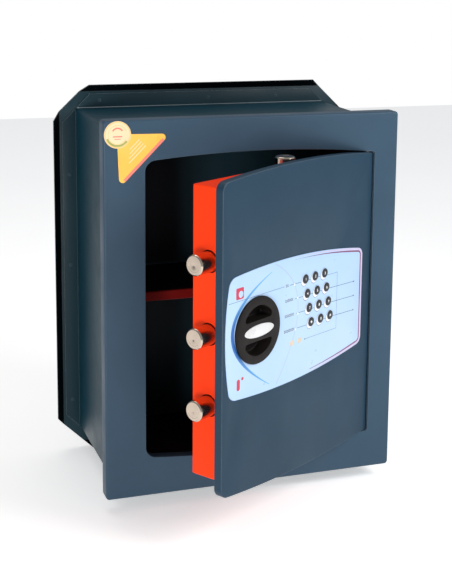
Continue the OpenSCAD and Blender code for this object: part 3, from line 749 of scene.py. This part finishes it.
def make_shelf():
    """A sheet with a folded front lip, notched at both ends."""
    low, high = node_box("shelf", FRONT)
    sheet = 2.0
    notch = 14
    bend = 2.0
    under = high.z - sheet
    outer_bend = arc(low.y + bend, high.z - bend, bend, 90, 180, 6)
    profile = [(high.y, under), (high.y, high.z)] + outer_bend
    profile += [(low.y, low.z), (low.y + sheet, low.z), (low.y + sheet, under)]
    form = Form()
    form.prism(profile, [(low.x + notch, high.x - notch)] * len(profile))
    wing = [(high.y, under), (high.y, high.z), (low.y + bend, high.z), (low.y + bend, under)]
    for x0, x1 in ((low.x, low.x + notch), (high.x - notch, high.x)):
        form.prism(wing, [(x0, x1)] * len(wing))
    # The front of the folded lip is the red part, a painted reflection of the orange cover
    for face in form.bm.faces:
        if face.calc_center_median().y < (low.y + bend / 2) * MM:
            face.material_index = 1
    form.piece("shelf_sheet", FRONT, "body", [shelf_paint, shelf_lip_reflection_paint], ["shelf"])


# ---- Stickers, with plain shapes on them ----

STICKER_PRINT = 0.02
STICKER_STEP = 0.04
round_low, round_high = node_box("sticker_round", FRONT)


def make_badge_sticker():
    """A round sticker with rings and three short bars."""
    cx = (round_low.x + round_high.x) / 2
    cz = (round_low.z + round_high.z) / 2
    r = (round_high.x - round_low.x) / 2
    ink_depth = round_low.y - STICKER_PRINT
    form = Form()
    form.solid(circle(cx, cz, r), front_edge(0.1, round_low.y, 1, 2) + [(0, 0)])
    form.paint = 1
    form.stroke(arc(cx, cz, r - 0.9, 0, 360, 60), 0.7, ink_depth)
    form.stroke(arc(cx, cz, r - 4.4, 20, 330, 60), 0.35, ink_depth)
    form.paint = 2
    form.stroke(arc(cx, cz, r - 2.6, 200, 325, 30), 2.2, ink_depth)
    form.paint = 3
    form.stroke(arc(cx, cz + 1, r - 8.5, 30, 150, 20), 1.6, ink_depth)
    for half_len, drop, width in ((5, 2, 1.2), (3.4, 4.6, 0.8)):
        form.stroke([(cx - half_len, cz - drop), (cx + half_len, cz - drop)], width, ink_depth)
    form.piece("badge_sticker", FRONT, "body", [sticker_cream, sticker_gold, sticker_olive, sticker_rose],
               ["sticker_round"])


def make_corner_sticker():
    """A rounded triangle with a band along its slant and four short bars."""
    # Centres of the rounded corners
    tips = [Vector((-105.8, 190.6)), Vector((-150.2, 191.4)), Vector((-148.3, 147.6))]
    tip_r = 4.0
    band_out = 2.4
    bars = 4
    first_in = 7
    pitch = 3.2
    loop = []
    for i, tip in enumerate(tips):
        before = tip - tips[i - 1]
        after = tips[(i + 1) % 3] - tip
        start = math.degrees(math.atan2(-before.x, before.y))
        sweep = (math.degrees(math.atan2(-after.x, after.y)) - start) % 360
        loop += arc(*tip, tip_r, start, start + sweep, 8)
    form = Form()
    form.solid(loop, front_edge(0.08, round_low.y + STICKER_STEP, 1, 1) + [(0, 0)])
    form.paint = 1
    slant = (tips[2] - tips[0]).normalized()
    outward = Vector((-slant.y, slant.x))
    form.stroke([tuple(tip + outward * band_out) for tip in (tips[0], tips[2])], 3.0, round_low.y)
    form.paint = 2
    for number in range(bars):
        inset = outward * (first_in + pitch * number)
        shares = (0.3, 0.72 - 0.06 * number)
        ends = [tuple(tips[0].lerp(tips[2], share) - inset) for share in shares]
        form.stroke(ends, 0.9, round_low.y)
    form.piece("corner_sticker", FRONT, "body", [sticker_gold, sticker_rose, sticker_cream],
               ["sticker_triangle"])


# ---- Door, cover and bolts ----

DOOR_GAP = 1.6
SIDE_BOLTS = ["side_bolt_upper", "side_bolt_middle", "side_bolt_lower"]

plate_low, plate_high = node_box("door_plate", DOOR)
knob_centre = DOOR.inverted() @ Vector(joint("knob_turn")["pos_m"]) / MM
knob_x = knob_centre.x
knob_z = knob_centre.z


def make_door_plate():
    """The slab, with a hole for the knob's cup and one for the keypad."""
    back = plate_high.y
    cup_hole_r = 31
    pad_play = 0.3
    pad_r = 3
    edge_r = 0.8
    outer = barrel(plate_low.x, plate_high.x, plate_high.z, OPENING_ARCH_R - DOOR_GAP,
                   BOLT_SIDE_R - DOOR_GAP, HINGE_SIDE_R - DOOR_GAP)
    pad_low, pad_high = node_box("keypad_housing", DOOR)
    pad = rounded_rect((pad_low.x + pad_high.x) / 2, (pad_low.z + pad_high.z) / 2,
                       pad_high.x - pad_low.x + pad_play, pad_high.z - pad_low.z + pad_play, pad_r)
    through = front_edge(SHEARED_R, 0, -1, 2) + [(0, back)]
    form = Form()
    form.solid(outer, front_edge(edge_r, 0) + back_edge(edge_r, back),
               [(circle(knob_x, knob_z, cup_hole_r), through), (pad, through)])
    # The hinge edge is rounded at the front
    hinge_r = 3.0
    for vert in form.bm.verts:
        x = vert.co.x / MM
        y = vert.co.y / MM
        if x > -hinge_r and y < hinge_r:
            reach = math.sqrt(max(0.0, hinge_r ** 2 - (hinge_r - y) ** 2)) - hinge_r
            vert.co.x = min(x, reach) * MM
    form.piece("door_slab", DOOR, "door", [shaded_door_paint], ["door_plate"])


def bolt_hole(node, low, high):
    """Cutter through the cover's wall where a bolt leaves it."""
    hole_r = 12
    reach = 3
    bolt_low, bolt_high = node_box(node, DOOR)
    spot = (bolt_low + bolt_high) / 2
    upright = node not in SIDE_BOLTS
    if upright:
        spot.z = high.z if node == "top_bolt" else low.z
    else:
        spot.x = low.x
    spin = Matrix.Rotation(math.pi / 2, 4, "X" if upright else "Z")
    cutter = Form()
    cutter.turn([(hole_r, -reach), (hole_r, reach)])
    cutter.bm.transform(Matrix.Translation(spot * MM) @ spin)
    return cutter


def make_cover():
    """Folded sheet box over the bolt work, with a hole for each bolt."""
    low, high = node_box("bolt_cover", DOOR)
    sheet = 1.5
    bend_r = 1.6
    outer = rounded_rect((low.x + high.x) / 2, (low.z + high.z) / 2, high.x - low.x, high.z - low.z,
                         bend_r, 4)
    form = Form()
    rings = form.chain(outer, [(0, low.y)] + back_edge(bend_r, high.y))
    inner = form.chain(outer, [(-sheet, low.y), (-sheet, high.y - sheet)])
    form.fill([rings[0], inner[0]])
    form.fill([rings[-1]])
    form.fill([inner[-1]])
    form.cut([bolt_hole(node, low, high) for node in SIDE_BOLTS + ["top_bolt", "bottom_bolt"]],
             [cover_paint])
    form.piece("cover_sheet", DOOR, "door", [cover_paint], ["bolt_cover"])


def make_bolt(node, body, spin):
    """A turned bolt with a chamfered end that has a ring and a centre mark on it."""
    low, high = node_box(node, DOOR)
    size = high - low
    r = min(size) / 2
    end = -max(size) / 2
    mark_r = 1.6
    groove_r = r - 4.2
    groove = 0.1
    chamfer = 1.5
    rear_chamfer = 0.4
    form = Form()
    form.turn([(0.6, end + 0.5), (mark_r, end + groove), (groove_r, end + groove), (groove_r + 0.2, end),
               (r - chamfer + 0.1, end), (r - 0.15, end + 1.2), (r, end + chamfer),
               (r, -end - rear_chamfer), (r - rear_chamfer, -end)])
    where = DOOR @ Matrix.Translation((low + high) / 2 * MM) @ spin
    form.piece(node + "_bar", where, body, [bolt_steel], [node], sharp=24)


def make_bolts():
    toward_free = Matrix.Rotation(-math.pi / 2, 4, "Z")
    upward = Matrix.Rotation(-math.pi / 2, 4, "X")
    downward = Matrix.Rotation(math.pi / 2, 4, "X")
    for node in SIDE_BOLTS:
        make_bolt(node, "side_bolts", toward_free)
    make_bolt("top_bolt", "top_bolt", upward)
    make_bolt("bottom_bolt", "bottom_bolt", downward)


# ---- Knob ----


def recess_shape(r, chord, corner_r):
    """Half-moon finger recess above the grip bar, with rounded corners."""
    cz = chord + corner_r
    cx = math.sqrt((r - corner_r) ** 2 - cz ** 2)
    turn = heading(0, 0, cx, cz)
    loop = arc(cx, cz, corner_r, -90, turn, 8)
    loop += arc(0, 0, r, turn, 180 - turn, 40)[1:]
    loop += arc(-cx, cz, corner_r, 180 - turn, 270, 8)[1:]
    return loop


def make_knob():
    """A ring with a grip bar between two finger recesses, and a blank oval on the bar."""
    low, high = node_box("knob", DOOR)
    ring_r = (high.x - low.x) / 2
    front = low.y
    back = high.y
    cup_r = 28.5
    recess_r = 26.5
    corner_r = 3.2
    grip_half = 11
    floor = 12
    rim = front + 3
    inset = cup_r - ring_r
    ring = front_edge(1.5, front) + back_edge(0.3, rim, 1, 2)
    upper = recess_shape(recess_r, grip_half, corner_r)
    lower = [(-x, -z) for x, z in upper]
    walls = front_edge(0.8, front, -1) + back_edge(1.2, floor, 1)
    form = Form()
    rings = form.chain(circle(0, 0, ring_r, 128), ring + [(inset, rim), (inset, back)])
    pockets = [form.chain(loop, walls) for loop in (upper, lower)]
    form.fill([rings[0]] + [pocket[0] for pocket in pockets])
    form.fill([rings[-1]])
    for pocket in pockets:
        form.fill([pocket[-1]])
    where = DOOR @ Matrix.Translation((knob_x * MM, 0, knob_z * MM))
    form.piece("knob_grip", where, "knob", [knob_plastic], ["knob"])
    low, high = node_box("knob_badge", DOOR)
    half_w = (high.x - low.x) / 2
    half_h = (high.z - low.z) / 2
    oval = [(x * half_w, z * half_h) for x, z in circle(0, 0, 1, 72)]
    form = Form()
    form.solid(oval, front_edge(0.35, low.y) + [(0, high.y)])
    form.piece("knob_oval", where, "knob", [badge_white], ["knob_badge"])


# ---- Keypad ----

KEY_SIGNS = {digit: digit for digit in "123456789"}
KEY_SIGNS.update({"star": "*", "0": "0", "hash": "#"})
KEY_ROWS = [("1", "3"), ("4", "6"), ("7", "9"), ("star", "hash")]
THIN_INK = 0.35
LINE_INK = 0.4
LETTER_PITCH = 2.3

label_low, label_high = node_box("keypad_label", DOOR)
label_z = (label_low.z + label_high.z) / 2
label_half = (label_high.z - label_low.z) / 2
key_boxes = {name: node_box("key_" + name, DOOR) for name in KEY_SIGNS}
key_centres = {name: (low + high) / 2 for name, (low, high) in key_boxes.items()}


def label_loop(inset):
    loop = label_shape(label_low.x, label_high.x, label_half)
    return shifted(offset(loop, -inset) if inset else loop, 0, label_z)


def make_label():
    """The label's film, with holes for knob, keys and lights, and the two light windows."""
    front = label_low.y
    cup_hole_r = 29
    key_hole_r = 5.5
    window_play = 0.05
    through = [(0, front), (0, 0)]
    low, high = node_box("led_windows", DOOR)
    r = (high.z - low.z) / 2
    z = (high.z + low.z) / 2
    spots = [(low.x + r, z), (high.x - r, z)]
    holes = [(circle(knob_x, knob_z, cup_hole_r), through)]
    holes += [(circle(c.x, c.z, key_hole_r, 40), through) for c in key_centres.values()]
    holes += [(circle(*spot, r + window_play, 40), through) for spot in spots]
    form = Form()
    form.solid(label_loop(0), front_edge(0.3, front, 1, 3) + [(0, 0)], holes)
    form.piece("label_sheet", DOOR, "door", [label_film], ["keypad_label"])
    dome = [(0.4, low.y), (r - 1.1, low.y + 0.04), (r - 0.3, low.y + 0.2), (r, front), (r, 0)]
    form = Form()
    for spot in spots:
        form.turn(dome, spot, 40)
    form.piece("indicator_windows", DOOR, "door", [window_tan], ["led_windows"])


def taper(count, widest):
    """Stroke widths that swell from thin ends to the widest place, halfway."""
    least = 0.12
    shares = [i / (count - 1) for i in range(count)]
    bell = [2 * min(share, 1 - share) for share in shares]
    return [widest * (least + (1 - least) * math.sin(math.pi / 2 * b)) for b in bell]


def bowed(start, middle, end):
    """A smooth bow through three (x, z) points."""
    steps = 60
    a, m, b = (Vector(p) for p in (start, middle, end))
    handle = m * 2 - (a + b) / 2
    shares = [i / steps for i in range(steps + 1)]
    return [tuple(a * (1 - t) ** 2 + handle * 2 * t * (1 - t) + b * t ** 2) for t in shares]


def word(form, x, z, letters, depth):
    """A row of small bars with pale middles, in place of a printed word."""
    for number in range(letters):
        left = x + LETTER_PITCH * number
        tall = 2.6 if number % 2 else 3.0
        form.stroke([(left, z), (left + 1.5, z + 0.2)], tall, depth)
        form.paint = PALE
        form.stroke([(left + 0.5, z + 0.1), (left + 1.1, z + 0.1)], tall * 0.4, depth - 0.01)
        form.paint = GREY


def make_lines(form, arc_path, depth):
    """Guide lines through the rows of keys, with dots, words and a bracket."""
    form.paint = GREY
    line_drop = 2.0
    letters = [2, 6, 7, 8]
    words_x = -160
    for number, (first, last) in enumerate(KEY_ROWS):
        z = key_centres[first].z - line_drop
        word(form, words_x - 0.8 * number, z + 0.8, letters[number], depth)
        if number == 0:
            form.stroke([(-253.6, 40.3), (-162.5, z + 0.9)], LINE_INK, depth)
            end = (key_centres[last].x, z)
        else:
            end = (-35.2, z - 2.0)
            form.disc(*end, 0.9, depth)
        start = words_x + LETTER_PITCH * letters[number] + 2
        path = [(start, z + 0.6), (key_centres[first].x, z), (key_centres[last].x, z), end]
        form.stroke(path, 0.5, depth)
        crossing = min(arc_path, key=lambda p: abs(p[1] - z))
        form.paint = PALE
        form.disc(*crossing, 1.2, depth - 0.02)
        form.paint = GREY
    bracket = [(-67.5, 37.8), (-67.8, -26.2), (-125.6, -25.4)]
    form.stroke(bracket[:2], THIN_INK, depth)
    form.stroke(bracket[1:], THIN_INK, depth)
    form.stroke([(key_centres["3"].x, 38.2), bracket[0]], THIN_INK, depth)
    form.disc(*bracket[2], 0.8, depth)


def border_path(inset):
    """The label's outline round its hinge side, from below to above."""
    top_end = -150
    low_end = -118
    turn_x = -190
    path = [(x, z) for x, z in label_loop(inset) if x > (top_end if z > label_z else low_end)]
    return sorted(path, key=lambda p: heading(turn_x, label_z, *p))


def make_border(form, depth):
    """A dark line inside a pale margin, which both thin out along top and bottom."""
    thin_x = -150
    full_reach = 110
    least = 0.08
    for ink, inset, widest, behind in ((MARGIN, 1.5, 2.8, 0.01), (PURPLE, 3.8, 1.8, 0.0)):
        form.paint = ink
        path = border_path(inset)
        shares = [min(1.0, max(least, (point[0] - thin_x) / full_reach)) for point in path]
        form.stroke(path, [widest * share for share in shares], depth + behind)


def make_marks(form, depth):
    """Plain shapes in the label's two free corners."""
    form.paint = MARK
    flat = [(0, depth - 0.02), (0, depth)]
    top = label_z + label_half
    low = label_z - label_half
    window = circle(-234.5, top - 23, 3.6, 24)
    form.solid(rounded_rect(-236, top - 22, 12, 12, 1.4, 4), flat, [(window, flat)])
    form.solid(rounded_rect(-237.5, low + 19, 5, 12, 2.2, 4), flat)
    form.disc(-231, low + 24.5, 1.8, depth)


def make_key_shades(form, depth):
    """A pale disc with a fine dark rim, low and to the left behind each key."""
    shade_r = 5.2
    for centre in key_centres.values():
        x = centre.x - 1.2
        z = centre.z - 1.9
        form.paint = PALE
        form.disc(x, z, shade_r, depth)
        form.paint = GREY
        rim = arc(x, z, shade_r + 0.2, 130, 345, 30)
        form.stroke(rim, taper(len(rim), 0.55), depth)


def make_prints():
    """Printed lines on the label; x is minus the distance from the hinge edge."""
    ink_depth = label_low.y - 0.03
    thin_arc = bowed((-179.0, 68.0), (-138.5, 15.0), (-175.0, -63.1))
    crescent = bowed((-184.6, 60.5), (-247.6, 6.5), (-186.9, -59.9))
    form = Form()
    make_lines(form, thin_arc, ink_depth - 0.01)
    form.paint = BLUE
    form.stroke(crescent, taper(len(crescent), 4.6), ink_depth)
    form.paint = LILAC
    form.stroke(thin_arc, 0.6, ink_depth)
    make_border(form, ink_depth)
    make_marks(form, ink_depth)
    make_key_shades(form, ink_depth - 0.02)
    form.piece("label_print", DOOR, "door", INKS)


def make_key(name, sign):
    """White cap on a stem, with a raised black disc and its sign."""
    low, high = key_boxes[name]
    front = low.y
    r = 5.2
    flange_r = r + 0.9
    stem_r = 2.2
    disc_r = 5.1
    disc_x = 0.2
    disc_z = 0.3
    size = 6.6 if sign == "*" else 4.1
    form = Form()
    form.turn([(0.3, front + 0.5), (r - 1.0, front + 0.5), (r - 0.4, front + 0.62), (r, front + 1.1),
               (r, 0.2), (flange_r, 0.2), (flange_r, 1.2), (stem_r, 1.2), (stem_r, high.y)], (0, 0), 48)
    form.paint = 1
    form.turn([(0.3, front + 0.02), (disc_r - 0.7, front + 0.02), (disc_r - 0.15, front + 0.2),
               (disc_r, front + 0.55)], (disc_x, disc_z), 48)
    form.paint = 2
    form.glyph(sign, disc_x, disc_z, size, front)
    where = DOOR @ Matrix.Translation(((low.x + high.x) / 2 * MM, 0, (low.z + high.z) / 2 * MM))
    form.piece("key_%s_cap" % name, where, "key_" + name, [key_white, key_black, digit_white],
               ["key_" + name])


# ---- CAD nodes that keep their own shape ----

KEPT = {
    shaded_door_paint: ["anti_pry_rail"],
    shaded_body_paint: ["shelf_bracket_left", "shelf_bracket_right", "hinge_block_upper", "hinge_block_lower"],
    pin_steel: ["hinge_pin_upper", "hinge_pin_lower", "cover_posts", "cover_screws", "spindle", "drive_pin",
                "carriage_screws", "solenoid_plunger"],
    guide_steel: ["side_bolt_guide", "top_bolt_guide", "bottom_bolt_guide"],
    sheet_steel: ["drive_cam", "spindle_clip", "bolt_carriage", "top_link", "bottom_link", "solenoid_body"],
    dark_plastic: ["keypad_housing", "battery_holder"],
    pale_plastic: ["knob_bushing", "ribbon_cable"],
    board_green: ["keypad_board", "control_board"],
    cell_sleeve: ["batteries"],
}


def dress_kept_nodes():
    for material, names in KEPT.items():
        for name in names:
            mesh = frame["nodes"][name].data
            mesh.materials.clear()
            mesh.materials.append(material)


# ---- Studio ----


def make_floor():
    half_side = 3.0
    mesh = bpy.data.meshes.new("floor")
    bm = bmesh.new()
    bmesh.ops.create_grid(bm, x_segments=4, y_segments=4, size=half_side)
    bm.to_mesh(mesh)
    mesh.materials.append(studio_floor("studio_floor"))
    floor = bpy.data.objects.new("floor", mesh)
    floor.location = (0, 0, cad_bounds[0][2])
    bpy.context.scene.collection.objects.link(floor)


def make_light(name, spot, target, size, power, colour=(1, 1, 1)):
    lamp = bpy.data.lights.new(name, "AREA")
    lamp.size = size
    lamp.energy = power
    lamp.color = colour
    holder = bpy.data.objects.new(name, lamp)
    holder.location = spot
    holder.rotation_euler = (Vector(target) - Vector(spot)).to_track_quat("-Z", "Y").to_euler()
    bpy.context.scene.collection.objects.link(holder)


def make_world():
    """A dim, slightly blue surround that the camera sees as plain white."""
    world = bpy.data.worlds.new("studio")
    bpy.context.scene.world = world
    world.use_nodes = True
    tree = world.node_tree
    lit = tree.nodes["Background"]
    lit.inputs["Color"].default_value = (0.93, 0.96, 1.0, 1)
    lit.inputs["Strength"].default_value = 0.4
    seen = tree.nodes.new("ShaderNodeBackground")
    seen.inputs["Color"].default_value = (1, 1, 1, 1)
    seen.inputs["Strength"].default_value = 1.0
    rays = tree.nodes.new("ShaderNodeLightPath")
    mix = tree.nodes.new("ShaderNodeMixShader")
    tree.links.new(rays.outputs["Is Camera Ray"], mix.inputs[0])
    tree.links.new(lit.outputs[0], mix.inputs[1])
    tree.links.new(seen.outputs[0], mix.inputs[2])
    tree.links.new(mix.outputs[0], tree.nodes["World Output"].inputs[0])


def make_studio():
    """World and lights, in metres and watts."""
    make_world()
    middle = (0, -0.15, 0)
    door = (0.15, -0.2, 0.15)
    warm = (1.0, 0.93, 0.88)
    make_light("key", (-0.9, -1.6, -0.05), middle, size=0.3, power=12)
    make_light("fill", (0.8, -0.95, 0.7), door, size=0.6, power=11)
    make_light("top", (-0.3, 0.3, 1.9), middle, size=1.2, power=9, colour=warm)
    bpy.context.scene.view_settings.view_transform = "Standard"


def make_camera():
    """A long lens to the left of the front and slightly above it."""
    azimuth = math.radians(20.255)
    down = math.radians(10.411)
    roll = math.radians(0.874)
    spot = Vector((-0.46129, -1.53138, 0.39789))
    level = math.cos(down)
    look = Vector((math.sin(azimuth) * level, math.cos(azimuth) * level, -math.sin(down)))
    right = Vector((math.cos(azimuth), -math.sin(azimuth), 0))
    up = right.cross(look)
    rolled_right = right * math.cos(roll) + up * math.sin(roll)
    rolled_up = up * math.cos(roll) - right * math.sin(roll)
    lens = bpy.data.cameras.new("camera")
    lens.sensor_width = 36
    lens.lens = 80.6
    lens.shift_x = -0.0925
    lens.shift_y = -0.1918
    lens.clip_start = 0.01
    holder = bpy.data.objects.new("camera", lens)
    axes = Matrix((rolled_right, rolled_up, -look)).transposed().to_4x4()
    axes.translation = spot
    holder.matrix_world = axes
    bpy.context.scene.collection.objects.link(holder)
    bpy.context.scene.camera = holder


make_camera()
make_studio()
make_floor()
make_front_frame()
make_body()
make_back_panel()
make_shelf()
make_badge_sticker()
make_corner_sticker()
make_door_plate()
make_cover()
make_bolts()
make_knob()
make_label()
make_prints()
for key_name, key_sign in KEY_SIGNS.items():
    make_key(key_name, key_sign)
dress_kept_nodes()
